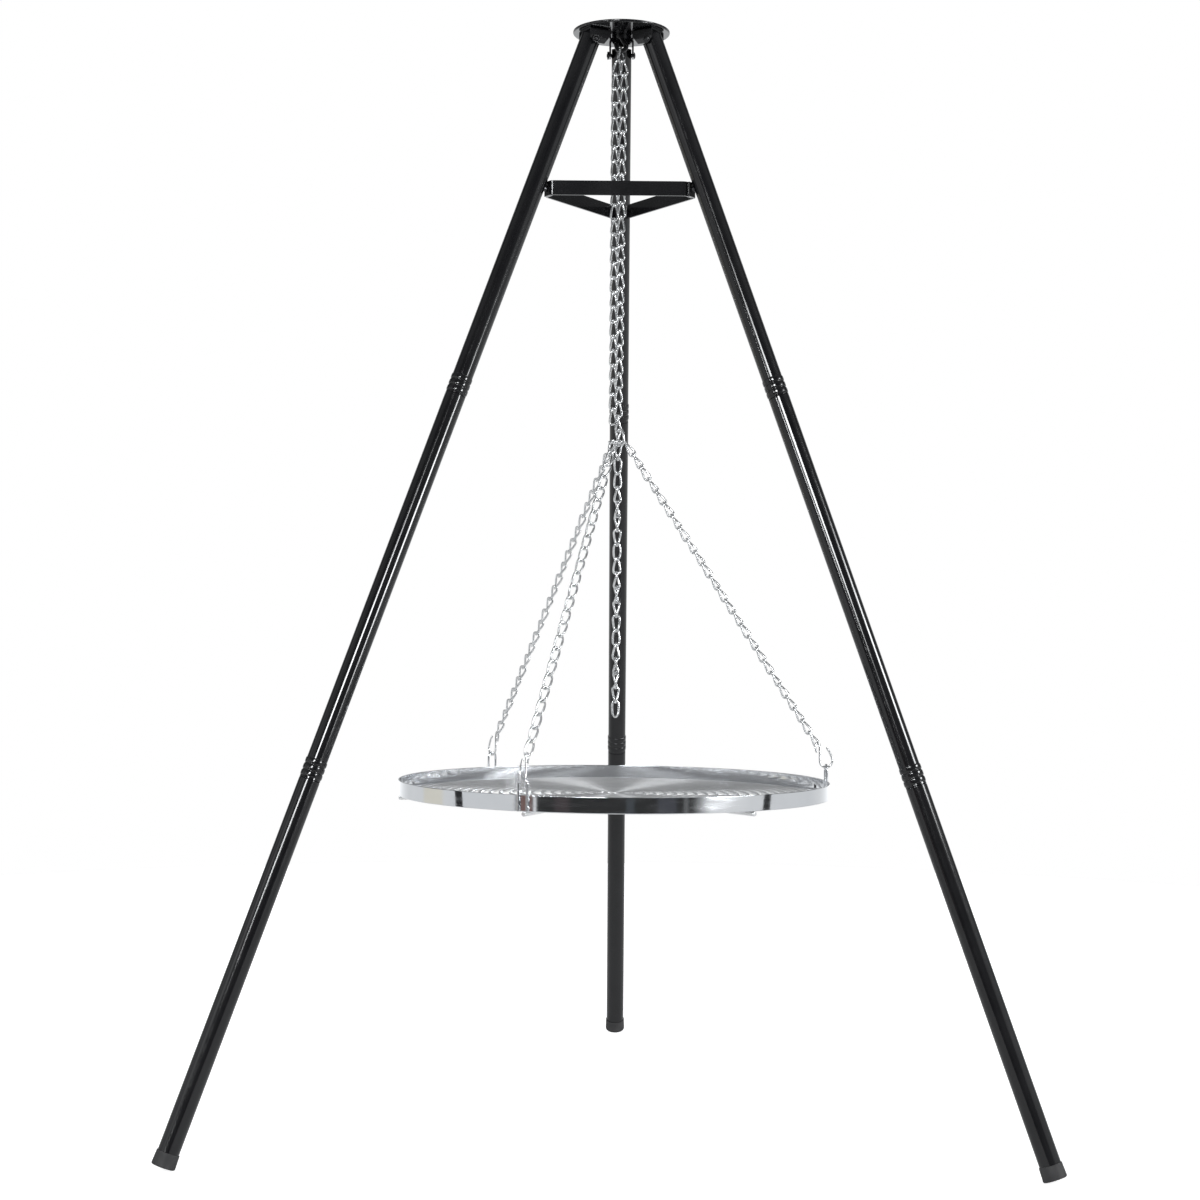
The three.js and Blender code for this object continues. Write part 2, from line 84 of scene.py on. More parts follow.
CAMERA_DISTANCE = 3.058  # metres, from the tripod's axis
CAMERA_HEIGHT = 0.700
CAMERA_ASIDE = -0.030  # a little to the left of straight ahead
CAMERA_AZIMUTH = 1.08  # degrees round the axis
CAMERA_YAW = 0.15  # degrees, as are the next two
CAMERA_PITCH = 0.42
CAMERA_ROLL = 0.58
CAMERA_LENS = 65.7  # millimetres, on a 36 mm sensor
SENSOR_WIDTH = 36


def azimuth(degrees):
    return Matrix.Rotation(math.radians(degrees), 4, "Z")


def add_camera():
    data = bpy.data.cameras.new("camera")
    data.lens = CAMERA_LENS
    data.sensor_width = SENSOR_WIDTH
    camera = bpy.data.objects.new("camera", data)
    bpy.context.scene.collection.objects.link(camera)
    around = Matrix.Translation((AXIS_X, AXIS_Y, 0)) @ azimuth(CAMERA_AZIMUTH)
    place = Matrix.Translation((CAMERA_ASIDE, -CAMERA_DISTANCE, CAMERA_HEIGHT))
    turn = (
        Matrix.Rotation(-math.radians(CAMERA_YAW), 4, "Z")
        @ Matrix.Rotation(math.radians(90 + CAMERA_PITCH), 4, "X")
        @ Matrix.Rotation(math.radians(CAMERA_ROLL), 4, "Z")
    )
    camera.matrix_world = around @ place @ turn
    bpy.context.scene.camera = camera


add_camera()

# ---- Material helpers ----


def new_material(name, color, metallic, roughness):
    """A shader with plain values, which patterns may then drive."""
    material = bpy.data.materials.new(name)
    material.use_nodes = True
    shader = material.node_tree.nodes["Principled BSDF"]
    shader.inputs["Base Color"].default_value = (*color, 1)
    shader.inputs["Metallic"].default_value = metallic
    shader.inputs["Roughness"].default_value = roughness
    return material, shader


def noise(material, scale, detail=3.0, stretch=(1, 1, 1)):
    """A noise pattern fixed to the piece, with so many blotches to the metre."""
    nodes = material.node_tree.nodes
    links = material.node_tree.links
    place = nodes.new("ShaderNodeTexCoord")
    mapping = nodes.new("ShaderNodeMapping")
    mapping.inputs["Scale"].default_value = stretch
    links.new(place.outputs["Object"], mapping.inputs["Vector"])
    texture = nodes.new("ShaderNodeTexNoise")
    texture.inputs["Scale"].default_value = scale
    texture.inputs["Detail"].default_value = detail
    links.new(mapping.outputs["Vector"], texture.inputs["Vector"])
    return texture.outputs["Fac"]


def vary(material, shader, socket, fac, low, high, start=0.3, end=0.7):
    """Drives a shader socket between two values by a noise pattern."""
    nodes = material.node_tree.nodes
    ramp = nodes.new("ShaderNodeMapRange")
    ramp.inputs["From Min"].default_value = start
    ramp.inputs["From Max"].default_value = end
    ramp.inputs["To Min"].default_value = low
    ramp.inputs["To Max"].default_value = high
    material.node_tree.links.new(fac, ramp.inputs["Value"])
    material.node_tree.links.new(ramp.outputs["Result"], shader.inputs[socket])


def tint(material, shader, fac, dark, light, start=0.3, end=0.7):
    """Drives the base colour between two tones by a noise pattern."""
    ramp = material.node_tree.nodes.new("ShaderNodeValToRGB")
    ramp.color_ramp.elements[0].position = start
    ramp.color_ramp.elements[0].color = (*dark, 1)
    ramp.color_ramp.elements[1].position = end
    ramp.color_ramp.elements[1].color = (*light, 1)
    material.node_tree.links.new(fac, ramp.inputs["Fac"])
    material.node_tree.links.new(ramp.outputs["Color"], shader.inputs["Base Color"])


def bump(material, shader, fac, strength, distance):
    """Raises and lowers the surface by a noise pattern; the distance is in metres."""
    node = material.node_tree.nodes.new("ShaderNodeBump")
    node.inputs["Strength"].default_value = strength
    node.inputs["Distance"].default_value = distance
    material.node_tree.links.new(fac, node.inputs["Height"])
    material.node_tree.links.new(node.outputs["Normal"], shader.inputs["Normal"])


# ---- Materials ----


def black_coat():
    """Gloss powder coat: a faint orange peel, a little dust in the gloss."""
    material, shader = new_material("black_coat", (0.011, 0.011, 0.013), 0.0, 0.24)
    tint(material, shader, noise(material, 18), (0.005, 0.005, 0.006), (0.010, 0.010, 0.011))
    vary(material, shader, "Roughness", noise(material, 45, 5), 0.07, 0.13)
    bump(material, shader, noise(material, 260, 1), 0.02, 0.0002)
    shader.inputs["Specular IOR Level"].default_value = 0.5
    return material


def black_steel():
    """Blackened steel of bolts, nuts and the hook: duller and a little mottled."""
    material, shader = new_material("black_steel", (0.02, 0.02, 0.022), 0.35, 0.3)
    tint(material, shader, noise(material, 120), (0.012, 0.012, 0.013), (0.035, 0.035, 0.037))
    vary(material, shader, "Roughness", noise(material, 260, 4), 0.2, 0.42)
    bump(material, shader, noise(material, 900, 3), 0.15, 0.0003)
    return material


def black_rubber():
    """Moulded caps: dull, with scuffed patches and a fine grain."""
    material, shader = new_material("black_rubber", (0.02, 0.02, 0.019), 0.0, 0.6)
    shader.inputs["Specular IOR Level"].default_value = 0.4
    tint(material, shader, noise(material, 60, 5), (0.022, 0.022, 0.023), (0.046, 0.045, 0.046))
    vary(material, shader, "Roughness", noise(material, 120, 4), 0.45, 0.72)
    bump(material, shader, noise(material, 1400, 2), 0.25, 0.0003)
    return material


def zinc(name, dark, light):
    """Zinc plate, bright on the chains and black on the inserts: small draw lines and clouding."""
    material, shader = new_material(name, light, 1.0, 0.28)
    tint(material, shader, noise(material, 240, 4), dark, light)
    vary(material, shader, "Roughness", noise(material, 420, 4), 0.17, 0.29)
    bump(material, shader, noise(material, 500, 2), 0.05, 0.0003)
    return material


def satin_chrome():
    """Dull chrome plate on the rings and rods: soft reflections, small stains."""
    material, shader = new_material("satin_chrome", (0.86, 0.87, 0.88), 0.7, 0.25)
    tint(material, shader, noise(material, 25, 4), (0.80, 0.81, 0.82), (0.93, 0.935, 0.94))
    vary(material, shader, "Roughness", noise(material, 60, 5), 0.14, 0.24)
    bump(material, shader, noise(material, 400, 2), 0.04, 0.0003)
    return material


def chrome():
    """Polished chrome plate: clear reflections, faint smears, fine pull marks round the band."""
    material, shader = new_material("chrome", (0.78, 0.79, 0.81), 1.0, 0.06)
    tint(material, shader, noise(material, 12, 4), (0.72, 0.735, 0.76), (0.80, 0.81, 0.83))
    vary(material, shader, "Roughness", noise(material, 30, 5, (1, 1, 6)), 0.03, 0.12)
    bump(material, shader, noise(material, 90, 3, (1, 1, 3)), 0.05, 0.0004)
    return material


BLACK_COAT = black_coat()
BLACK_STEEL = black_steel()
BLACK_RUBBER = black_rubber()
CHAIN_ZINC = zinc("chain_zinc", (0.66, 0.67, 0.68), (0.92, 0.925, 0.93))
BOLT_ZINC = zinc("bolt_zinc", (0.05, 0.05, 0.055), (0.12, 0.12, 0.125))
CHROME = chrome()
GRID_CHROME = satin_chrome()

# ---- Mesh helpers ----


class Shape:
    """Points and faces in millimetres, gathered before they become one mesh."""

    def __init__(self):
        self.points = []
        self.faces = []

    def add(self, points, faces, place=None):
        start = len(self.points)
        place = place or Matrix.Identity(4)
        self.points += [place @ Vector(p) for p in points]
        self.faces += [tuple(start + i for i in face) for face in faces]
        return self


def turned(outline, steps, ring=False):
    """A turned solid about Z. The outline ends on the axis at both ends; a ring's closes on itself."""
    points = []
    faces = []
    count = len(outline)
    for s in range(steps):
        angle = 2 * math.pi * s / steps
        points += [(r * math.cos(angle), r * math.sin(angle), z) for r, z in outline]
    spans = count if ring else count - 1
    for s in range(steps):
        here = s * count
        there = ((s + 1) % steps) * count
        for i in range(spans):
            j = (i + 1) % count
            faces.append((here + i, there + i, there + j, here + j))
    return weld(points, faces)


def weld(points, faces):
    """Joins points that lie on each other, and drops faces that this closes up."""
    seen = {}
    joined = []
    index = []
    for p in points:
        key = (round(p[0], 5), round(p[1], 5), round(p[2], 5))
        if key not in seen:
            seen[key] = len(joined)
            joined.append(p)
        index.append(seen[key])
    kept = []
    for face in faces:
        corners = []
        for i in face:
            if not corners or corners[-1] != index[i]:
                corners.append(index[i])
        if corners[0] == corners[-1]:
            corners.pop()
        if len(corners) > 2:
            kept.append(tuple(corners))
    return joined, kept


def swept(path, radius, sides=10, loop=False, round_ends=True):
    """A round wire along a list of points. Frames are carried along, so that the wire doesn't twist."""
    path = [Vector(p) for p in path]
    count = len(path)
    tangents = []
    for i in range(count):
        before = path[i - 1] if loop or i > 0 else path[i]
        after = path[(i + 1) % count] if loop or i < count - 1 else path[i]
        tangents.append((after - before).normalized())
    across = tangents[0].orthogonal().normalized()
    rings = []
    for i in range(count):
        across = (across - tangents[i] * across.dot(tangents[i])).normalized()
        rings.append((path[i], across.copy(), tangents[i].cross(across), radius))
    if not loop and round_ends:
        rings = end_rings(path, tangents, rings, radius)
    points = []
    for centre, u, v, r in rings:
        for k in range(sides):
            angle = 2 * math.pi * k / sides
            points.append(centre + (u * math.cos(angle) + v * math.sin(angle)) * r)
    faces = []
    turns = len(rings) if loop else len(rings) - 1
    offset = closing_offset(rings, sides) if loop else 0
    for i in range(turns):
        here = i * sides
        there = ((i + 1) % len(rings)) * sides
        shift = offset if i == len(rings) - 1 else 0
        for k in range(sides):
            m = (k + 1) % sides
            faces.append((here + k, here + m, there + (m + shift) % sides, there + (k + shift) % sides))
    if not loop:
        faces.append(tuple(range(sides))[::-1])
        last = (len(rings) - 1) * sides
        faces.append(tuple(last + k for k in range(sides)))
    return points, faces


def end_rings(path, tangents, rings, radius):
    """Adds two smaller rings at each end, so that a cut wire has a rounded edge."""
    first = rings[0]
    last = rings[-1]
    edge = 0.3 * radius
    head = [
        (path[0], first[1], first[2], radius - edge),
        (path[0] + tangents[0] * edge * 0.3, first[1], first[2], radius - edge * 0.3),
        (path[0] + tangents[0] * edge, first[1], first[2], radius),
    ]
    tail = [
        (path[-1] - tangents[-1] * edge, last[1], last[2], radius),
        (path[-1] - tangents[-1] * edge * 0.3, last[1], last[2], radius - edge * 0.3),
        (path[-1], last[1], last[2], radius - edge),
    ]
    return head + rings[1:-1] + tail


def closing_offset(rings, sides):
    """How many sides a closed wire's frame has turned by when it meets its start."""
    first = rings[0]
    last = rings[-1]
    angle = math.atan2(last[1].dot(first[2]), last[1].dot(first[1]))
    return round(angle / (2 * math.pi / sides)) % sides


def smooth_path(points, per_span=6):
    """A smooth curve through points, by even Catmull-Rom spans."""
    points = [Vector(p) for p in points]
    ends = [points[0] * 2 - points[1], *points, points[-1] * 2 - points[-2]]
    path = []
    for i in range(1, len(ends) - 2):
        a, b, c, d = ends[i - 1], ends[i], ends[i + 1], ends[i + 2]
        for s in range(per_span):
            t = s / per_span
            path.append(0.5 * (
                2 * b + (c - a) * t + (2 * a - 5 * b + 4 * c - d) * t * t + (3 * b - a - 3 * c + d) * t ** 3
            ))
    path.append(points[-1])
    return path


def arc(centre, radius, start, end, steps):
    """Points of an arc in a 2-D outline, angles in degrees."""
    return [
        (
            centre[0] + radius * math.cos(math.radians(start + (end - start) * i / steps)),
            centre[1] + radius * math.sin(math.radians(start + (end - start) * i / steps)),
        )
        for i in range(steps + 1)
    ]


def rounded(outline, radius, steps=4, loop=True):
    """Rounds the corners of a closed outline of 2-D points, or the bends of an open line."""
    result = []
    count = len(outline)
    for i, point in enumerate(outline):
        here = Vector(point)
        if not loop and i in (0, count - 1):
            result.append(tuple(here))
            continue
        before = Vector(outline[i - 1]) - here
        after = Vector(outline[(i + 1) % count]) - here
        reach = min(radius, before.length * 0.45, after.length * 0.45)
        start = here + before.normalized() * reach
        end = here + after.normalized() * reach
        for s in range(steps + 1):
            t = s / steps
            result.append(tuple(start * (1 - t) ** 2 + here * 2 * t * (1 - t) + end * t * t))
    return result


def piece(name, shape, place, material, smooth_angle=40, bevel=0.0):
    """Makes the mesh object, in metres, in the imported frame's own place."""
    mesh = bpy.data.meshes.new(name)
    whole = TRIPOD @ place
    mesh.from_pydata([whole @ Vector(p) for p in shape.points], [], shape.faces)
    item = bpy.data.objects.new(name, mesh)
    bpy.context.scene.collection.objects.link(item)
    edit = bmesh.new()
    edit.from_mesh(mesh)
    bmesh.ops.recalc_face_normals(edit, faces=edit.faces)
    edit.to_mesh(mesh)
    edit.free()
    if bevel:
        soften = item.modifiers.new("edges", "BEVEL")
        soften.width = bevel * MM
        soften.segments = 2
        soften.limit_method = "ANGLE"
        soften.angle_limit = math.radians(35)
        apply_modifiers(item)
        mesh = item.data
    mesh.materials.append(material)
    for polygon in mesh.polygons:
        polygon.use_smooth = True
    mesh.set_sharp_from_angle(angle=math.radians(smooth_angle))
    even = item.modifiers.new("normals", "WEIGHTED_NORMAL")
    even.keep_sharp = True
    apply_modifiers(item)
    return item


def apply_modifiers(item):
    """Leaves the mesh as its modifiers make it, with none left on it."""
    depsgraph = bpy.context.evaluated_depsgraph_get()
    result = bpy.data.meshes.new_from_object(item.evaluated_get(depsgraph))
    item.modifiers.clear()
    item.data = result


def install(item, node, body):
    """Lets the piece ride on its body in place of the CAD node."""
    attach(item, body)
    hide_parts(node)


# ---- Hub ----

HOOK_SHANK_R = 3.5
HOOK_WIRE_R = 3.0
HOOK_BEND_R = 7.0
HOOK_LOW_Z = 1491.0
HOOK_TOP_REACH = 7.5  # above the plate's top
HUB_TOP_Z = HUB_UNDER_Z + HUB_THICKNESS
HOOK_NUT_WIDTH = 12
HOOK_NUT_HEIGHT = 6
LOCK_NUT_HEIGHT = 5


def add_hub():
    outline = rounded([
        (HOOK_SHANK_R + GAP, HUB_UNDER_Z),
        (HUB_R, HUB_UNDER_Z),
        (HUB_R, HUB_TOP_Z),
        (HOOK_SHANK_R + GAP, HUB_TOP_Z),
    ], 1.6, 5)
    plate = piece("hub_disc", Shape().add(*turned(outline, 128, ring=True)), Matrix(), BLACK_COAT)
    install(plate, "hub_plate", "frame")

    bend_z = HOOK_LOW_Z + HOOK_BEND_R
    path = smooth_path([
        (0, 0, HUB_TOP_Z + HOOK_TOP_REACH),
        (0, 0, HUB_UNDER_Z - 1),
        (0.2, 0, bend_z + 12),
        (2.8, 0, bend_z + 7),
        (HOOK_BEND_R, 0, bend_z),
        (HOOK_BEND_R * 0.7, 0, bend_z - HOOK_BEND_R * 0.7),
        (0, 0, HOOK_LOW_Z),
        (-HOOK_BEND_R * 0.7, 0, bend_z - HOOK_BEND_R * 0.7),
        (-HOOK_BEND_R, 0, bend_z),
        (-HOOK_BEND_R, 0, bend_z + 4),
    ], 8)
    bent = Shape().add(*swept(path, HOOK_WIRE_R + 0.2, 20))
    hook = piece("hub_hook_bent", bent, Matrix(), BLACK_STEEL)
    install(hook, "hub_hook", "frame")

    top_shape = nut_shape(HOOK_NUT_WIDTH, HOOK_SHANK_R, HUB_TOP_Z + GAP, HUB_TOP_Z + HOOK_NUT_HEIGHT)
    top_nut = piece("hub_top_nut", top_shape, Matrix(), BLACK_STEEL, bevel=0.3)
    install(top_nut, "hub_hook_nut", "frame")
    low_shape = nut_shape(HOOK_NUT_WIDTH, HOOK_SHANK_R, HUB_UNDER_Z - LOCK_NUT_HEIGHT, HUB_UNDER_Z - GAP)
    low_nut = piece("hub_lower_nut", low_shape, Matrix(), BLACK_STEEL, bevel=0.3)
    install(low_nut, "hub_hook_lock_nut", "frame")


NUT_SIDES = 36  # steps round, a whole number to each flat
NUT_CHAMFER = 0.5
NUT_CHAMFER_DEPTH = 0.8


def circle_path(radius, steps, z=0.0):
    return [
        (radius * math.cos(2 * math.pi * i / steps), radius * math.sin(2 * math.pi * i / steps), z)
        for i in range(steps)
    ]


def nut_shape(width, bore_r, low, high):
    """A hexagon nut: six flats outside, a round bore, chamfers at the bore's mouths."""
    sides = NUT_SIDES
    points = []
    for z in (low, high):
        for k in range(sides):
            angle = 2 * math.pi * k / sides
            flat = (angle % (math.pi / 3)) - math.pi / 6
            r = width / 2 / math.cos(flat)
            points.append((r * math.cos(angle), r * math.sin(angle), z))
        points += circle_path(bore_r + GAP + NUT_CHAMFER, sides, z)
    for z in (low + NUT_CHAMFER_DEPTH, high - NUT_CHAMFER_DEPTH):
        points += circle_path(bore_r + GAP, sides, z)
    outer_low, inner_low, outer_high, inner_high, bore_low, bore_high = (i * sides for i in range(6))
    faces = []
    for k in range(sides):
        m = (k + 1) % sides
        faces.append((outer_low + k, outer_low + m, outer_high + m, outer_high + k))
        faces.append((outer_high + k, outer_high + m, inner_high + m, inner_high + k))
        faces.append((inner_high + k, inner_high + m, bore_high + m, bore_high + k))
        faces.append((bore_high + k, bore_high + m, bore_low + m, bore_low + k))
        faces.append((bore_low + k, bore_low + m, inner_low + m, inner_low + k))
        faces.append((inner_low + k, inner_low + m, outer_low + m, outer_low + k))
    return Shape().add(points, faces)


# ---- Legs ----

LEG_LEAN = math.atan2(LEG_FOOT_R - LEG_TOP_R, LEG_TOP_Z)
SPIGOT_LENGTH = 40.0
SPIGOT_R = TUBE_R - TUBE_WALL - GAP
BEAD_COUNT = 3
BEAD_PITCH = 8.5
BEAD_SHIFT = 2.0  # of all three, toward the section's end
BEAD_HEIGHT = 0.6
BEAD_HALF = 3.9  # half a bead's length along the tube
BEAD_GROOVE = 0.45
CAP_R = 15.6
CAP_LENGTH = 19.0
CAP_BASE = 3.0
CAP_EDGE = 2.0
CAP_TAPER = 0.6
FOOT_DROP = (CAP_R - CAP_EDGE) * math.sin(LEG_LEAN) + CAP_EDGE * (1 - math.cos(LEG_LEAN))
LEG_LENGTH = (LEG_TOP_Z - FOOT_DROP) / math.cos(LEG_LEAN)
TUBE_STEPS = 64


def leg_place(degrees):
    lean = Matrix.Rotation(-LEG_LEAN, 4, "Y")
    return azimuth(degrees) @ Matrix.Translation((LEG_TOP_R, 0, LEG_TOP_Z)) @ lean


def bead_outline(end_z):
    """Rolled beads, flat on top, with a narrow groove at each end of each, from the top one down."""
    points = []
    steps = 16
    for i in range(BEAD_COUNT, 0, -1):
        middle = end_z + i * BEAD_PITCH - BEAD_SHIFT
        for s in range(steps + 1):
            away = 1 - 2 * s / steps
            crown = BEAD_HEIGHT * (1 - abs(away) ** 5) * (1 - 0.25 * away * away)
            groove = BEAD_GROOVE * math.exp(-((abs(away) - 0.93) / 0.1) ** 2)
            points.append((TUBE_R + crown - groove, middle + BEAD_HALF * away))
    return points


def section_outline(top_z, end_z, has_spigot, has_beads):
    """One leg section's tube wall, from its top round the outside and back up the bore."""
    inner = TUBE_R - TUBE_WALL
    if has_spigot:
        start = [(SPIGOT_R - 0.4, top_z + SPIGOT_LENGTH), (SPIGOT_R, top_z + SPIGOT_LENGTH - 1)]
        start += [(SPIGOT_R, top_z + 0.4), (SPIGOT_R + 0.5, top_z + GAP)]
        start += [(TUBE_R - 0.5, top_z - 0.2), (TUBE_R - 0.1, top_z - 0.5), (TUBE_R, top_z - 1.1)]
        bore = [(inner, top_z - 4), (SPIGOT_R - TUBE_WALL, top_z)]
        bore += [(SPIGOT_R - TUBE_WALL, top_z + SPIGOT_LENGTH)]
    else:
        start = [(TUBE_R - 0.3, top_z), (TUBE_R, top_z - 0.4)]
        bore = [(inner, top_z)]
    beads = bead_outline(end_z) if has_beads else []
    lip = [(TUBE_R, end_z + 0.5), (TUBE_R - 0.15, end_z + 0.12), (TUBE_R - 0.5, end_z)]
    return start + beads + lip + [(inner, end_z)] + bore


def cap_outline():
    """The foot cap: a rounded lower edge, a slight taper, and the tube's seat inside."""
    low = -LEG_LENGTH
    high = low + CAP_LENGTH
    top_r = CAP_R - CAP_TAPER
    outline = [(0, low + 0.6), (8, low + 0.6), (8.6, low)]
    outline += arc((CAP_R - CAP_EDGE, low + CAP_EDGE), CAP_EDGE, -90, 0, 6)
    outline += [(CAP_R - 0.2, low + 7)]
    outline += arc((top_r - 0.5, high - 0.5), 0.5, 0, 90, 4)
    outline += [(TUBE_R + GAP, high), (TUBE_R + GAP, low + CAP_BASE), (0, low + CAP_BASE)]
    return outline


def add_leg(side, degrees):
    place = leg_place(degrees)
    tube_end = -(LEG_LENGTH - CAP_BASE - GAP)
    sections = {
        "upper": (0, -SECTION_LENGTH, False, True),
        "middle": (-SECTION_LENGTH - GAP, -2 * SECTION_LENGTH, True, True),
        "lower": (-2 * SECTION_LENGTH - GAP, tube_end, True, False),
    }
    for level, numbers in sections.items():
        shape = Shape().add(*turned(section_outline(*numbers), TUBE_STEPS, ring=True))
        tube = piece(f"{side}_leg_{level}_tube", shape, place, BLACK_COAT, 30)
        install(tube, f"leg_{side}_{level}", "frame")
    cap = piece(f"{side}_foot_cap", Shape().add(*turned(cap_outline(), TUBE_STEPS)), place, BLACK_RUBBER)
    install(cap, f"foot_cap_{side}", "frame")
    add_bracket(side, degrees)


BOLT_DROP = 8.6
BOLT_R = 3.0
CHEEK_INNER = TUBE_R + 0.8
CHEEK_OUTER = CHEEK_INNER + 2.5
BRACKET_DEPTH = 22.0
BRACKET_WEB = 2.5
BRACKET_INNER_R = 28.0
BRACKET_OUTER_R = 58.0
HUB_BOLT_HEAD_R = 5.0
HUB_BOLT_HEAD_HEIGHT = 2.2
HUB_BOLT_END = CHEEK_OUTER + 3.8
HUB_NUT_WIDTH = 10
HUB_NUT_END = CHEEK_OUTER + 3


def channel_shape():
    """The folded channel: one thick line bent round the web, drawn in slices along the radius."""
    top = HUB_UNDER_Z - GAP
    low = HUB_UNDER_Z - BRACKET_DEPTH
    web_under = top - BRACKET_WEB
    outer_line = [(-CHEEK_OUTER, low), (-CHEEK_OUTER, top), (CHEEK_OUTER, top), (CHEEK_OUTER, low)]
    inner_line = [(-CHEEK_INNER, low), (-CHEEK_INNER, web_under)]
    inner_line += [(CHEEK_INNER, web_under), (CHEEK_INNER, low)]
    fold = rounded(outer_line, 3.2, 5, loop=False)
    inside = rounded(inner_line, 1.0, 5, loop=False)
    # Places along the radius, each with how far the cheeks' lower edge is cut back there.
    stations = [
        (BRACKET_INNER_R, 11.0),
        (BRACKET_INNER_R + 3, 7.3),
        (BRACKET_INNER_R + 6, 3.7),
        (BRACKET_INNER_R + 9, 0.0),
        (BRACKET_OUTER_R - 7, 0.0),
        (BRACKET_OUTER_R - 3.5, 3.5),
        (BRACKET_OUTER_R, 7.0),
    ]
    points = []
    for r, lift in stations:
        for y, z in fold + inside[::-1]:
            points.append((r, y, max(z, low + lift)))
    count = 2 * len(fold)
    faces = []
    for s in range(len(stations) - 1):
        for i in range(count):
            j = (i + 1) % count
            faces.append((s * count + i, s * count + j, (s + 1) * count + j, (s + 1) * count + i))
    faces.append(tuple(range(count)))
    last = (len(stations) - 1) * count
    faces.append(tuple(last + i for i in range(count))[::-1])
    return Shape().add(points, faces)


def bolt_shape(start, head_r, head_height, low_side):
    """A domed head on a shank whose free end shows its thread."""
    # The dome's points, as shares of the head's radius and height.
    dome = ((0, 1), (0.27, 0.98), (0.58, 0.85), (0.84, 0.57), (0.96, 0.25), (1, 0.08))
    outline = [(head_r * r, start + head_height * z) for r, z in dome]
    outline += [(head_r - 0.3, start), (BOLT_R, start)]
    turns = 7
    for i in range(turns):
        z = low_side + 1 + turns - i
        outline += [(BOLT_R - 0.05, z + 0.5), (BOLT_R - 0.35, z)]
    outline += [(BOLT_R - 0.4, low_side + 0.6), (BOLT_R - 0.9, low_side), (0, low_side)]
    return Shape().add(*turned(outline, 32))


def add_bracket(side, degrees):
    turn = azimuth(degrees)
    bracket = piece(f"{side}_leg_channel", channel_shape(), turn, BLACK_COAT, 35)
    install(bracket, f"leg_bracket_{side}", "frame")
    bolt_x = LEG_TOP_R + BOLT_DROP * math.sin(LEG_LEAN)
    bolt_z = LEG_TOP_Z - BOLT_DROP * math.cos(LEG_LEAN)
    place = turn @ Matrix.Translation((bolt_x, 0, bolt_z)) @ Matrix.Rotation(math.pi / 2, 4, "X")
    turned_bolt = bolt_shape(CHEEK_OUTER + GAP, HUB_BOLT_HEAD_R, HUB_BOLT_HEAD_HEIGHT, -HUB_BOLT_END)
    bolt = piece(f"{side}_hub_bolt", turned_bolt, place, BLACK_STEEL, 30)
    install(bolt, f"leg_bolt_{side}", "frame")
    hexagon = nut_shape(HUB_NUT_WIDTH, BOLT_R, -HUB_NUT_END, -(CHEEK_OUTER + GAP))
    nut = piece(f"{side}_hub_nut", hexagon, place, BLACK_STEEL, 30, bevel=0.25)
    install(nut, f"leg_nut_{side}", "frame")


# ---- Spreader ----

BAR_HEIGHT = 20.0
BAR_THICKNESS = 3.0
TAB_BEND = 10.5  # from the leg's middle plane to the bend
TAB_END = 7.0  # from that plane the other way, to the tab's end
BAR_EDGE = 0.6
SPREADER_BOLT_HEAD_R = 5.5
SPREADER_BOLT_HEAD_HEIGHT = 4.0
INSERT_R = 4.4
INSERT_LENGTH = 11.0


def leg_axis_r(z):
    return LEG_TOP_R + (LEG_TOP_Z - z) * math.tan(LEG_LEAN)


# The tabs' middle planes, from the axis: the outer one's top edge just clears the leg's inner side.
LEG_INNER_SIDE = leg_axis_r(SPREADER_Z + BAR_HEIGHT / 2) - TUBE_R / math.cos(LEG_LEAN)
OUTER_TAB = LEG_INNER_SIDE - GAP - BAR_THICKNESS / 2
INNER_TAB = OUTER_TAB - BAR_THICKNESS - GAP


def polar(radius, tangent, degrees):
    """The plan point so far out along a direction, and so far aside of it."""
    angle = math.radians(degrees)
    return Vector((
        radius * math.cos(angle) - tangent * math.sin(angle),
        radius * math.sin(angle) + tangent * math.cos(angle),
    ))


def bar_shape(degrees):
    """A flat bar along a line with two rounded bends, with soft long edges."""
    line = rounded([
        polar(OUTER_TAB, -TAB_END, degrees),
        polar(OUTER_TAB, TAB_BEND, degrees),
        polar(INNER_TAB, -TAB_BEND, degrees + 120),
        polar(INNER_TAB, TAB_END, degrees + 120),
    ], 4.2, 8, loop=False)
    line = [Vector(p) for p in line]
    half = BAR_THICKNESS / 2
    tall = BAR_HEIGHT / 2
    section = rounded([(-half, -tall), (half, -tall), (half, tall), (-half, tall)], BAR_EDGE, 3)
    points = []
    for i, here in enumerate(line):
        into = (here - line[i - 1]).normalized() if i else (line[1] - here).normalized()
        out = (line[i + 1] - here).normalized() if i < len(line) - 1 else into
        along = (into + out).normalized()
        across = Vector((-along.y, along.x)) / max(along.dot(into), 0.5)
        for s, z in section:
            points.append((here.x + across.x * s, here.y + across.y * s, SPREADER_Z + z))
    count = len(section)
    faces = []
    for i in range(len(line) - 1):
        for k in range(count):
            m = (k + 1) % count
            faces.append((i * count + k, i * count + m, (i + 1) * count + m, (i + 1) * count + k))
    faces.append(tuple(range(count))[::-1])
    last = (len(line) - 1) * count
    faces.append(tuple(last + k for k in range(count)))
    return Shape().add(points, faces)


# Each bar is named for where it is, and starts at the leg that its key names.
BAR_NAMES = {"left": "front", "right": "right", "back": "left"}


def add_spreader():
    for side, degrees in LEG_AZIMUTHS.items():
        name = BAR_NAMES[side]
        bar = piece(f"{name}_flat_bar", bar_shape(degrees), Matrix(), BLACK_COAT, 35)
        install(bar, f"spreader_bar_{name}", "frame")
        add_spreader_bolt(side, degrees)


